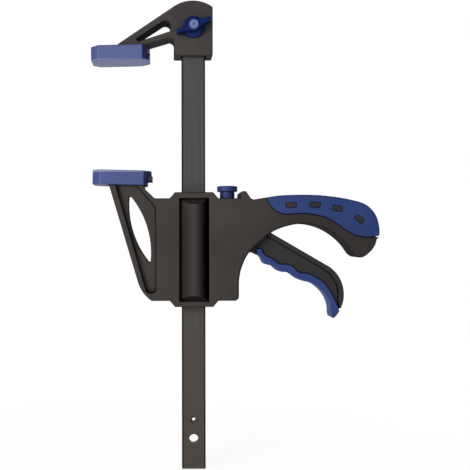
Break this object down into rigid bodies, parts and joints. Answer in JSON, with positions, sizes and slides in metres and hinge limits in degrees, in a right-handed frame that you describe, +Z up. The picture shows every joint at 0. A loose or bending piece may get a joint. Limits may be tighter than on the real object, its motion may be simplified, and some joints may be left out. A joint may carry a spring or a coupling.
{
  "type": "bar clamp",
  "caption": "Quick release bar clamp: squeezing a trigger steps the sliding jaw along a flat steel bar towards the fixed jaw, and a push button frees it. Soft pads cover the jaws.",
  "frame": {"origin": "middle of the fixed jaw pad's clamping face", "axes": "+Z runs up the bar towards the fixed jaw, +X points from the jaws towards the handle, -Y is the front, where the wing knob is"},
  "size_m": [0.229, 0.0351, 0.3749],
  "materials": {
    "bar_steel": "black oxide, satin",
    "black_plastic": "satin moulded, glass filled",
    "soft_blue": "soft moulded elastomer",
    "blue_plastic": "satin moulded",
    "steel": "zinc plated"
  },
  "bodies": {
    "bar": {"bar": "bar_steel", "fixed_jaw": "black_plastic", "fixed_jaw_pad": "soft_blue", "jaw_bolt": "steel"},
    "wing_knob": {"wing_knob": "blue_plastic", "knob_nut": "steel"},
    "slider": {"housing_front": "black_plastic", "housing_back": "black_plastic", "housing_screws": "steel", "handle_grip": "soft_blue", "sliding_jaw_pad": "soft_blue", "trigger_pin": "steel", "drive_spring": "steel", "brake_spring": "steel"},
    "trigger": {"trigger": "black_plastic", "trigger_grip": "soft_blue"},
    "drive_plates": {"drive_plate_upper": "steel", "drive_plate_lower": "steel"},
    "release_button": {"release_button": "blue_plastic"},
    "brake_plate": {"brake_plate": "steel"}
  },
  "joints": [
    {"name": "slider_travel", "type": "slide", "parent": "bar", "child": "slider", "axis": [0, 0, 1], "range_m": [-0.088, 0.0855]},
    {"name": "trigger_pivot", "type": "hinge", "parent": "slider", "child": "trigger", "pos_m": [0.0982, 0, -0.138], "axis": [0, -1, 0], "range_deg": [0, 12.5], "stiffness_Nm_per_rad": 0.6, "springref_deg": -14.32},
    {"name": "drive_travel", "type": "slide", "parent": "slider", "child": "drive_plates", "axis": [0, 0, -1], "range_m": [0, 0.0036], "deforming": ["drive_spring"]},
    {"name": "button_press", "type": "slide", "parent": "slider", "child": "release_button", "axis": [0, 0, -1], "range_m": [0, 0.004], "stiffness_N_per_m": 500, "springref_m": -0.006, "deforming": ["brake_spring"]},
    {"name": "brake_tilt", "type": "hinge", "parent": "slider", "child": "brake_plate", "pos_m": [0.0427, 0, -0.1215], "axis": [0, 1, 0], "range_deg": [0, 4.7]},
    {"name": "knob_turn", "type": "hinge", "parent": "bar", "child": "wing_knob", "pos_m": [0.0582, -0.015, 0.0263], "axis": [0, -1, 0], "continuous": true}
  ],
  "couplings": [
    {"joint": "drive_travel", "follows": "trigger_pivot", "m_per_rad": 0.0157},
    {"joint": "brake_tilt", "follows": "button_press", "rad_per_m": 20.2}
  ]
}
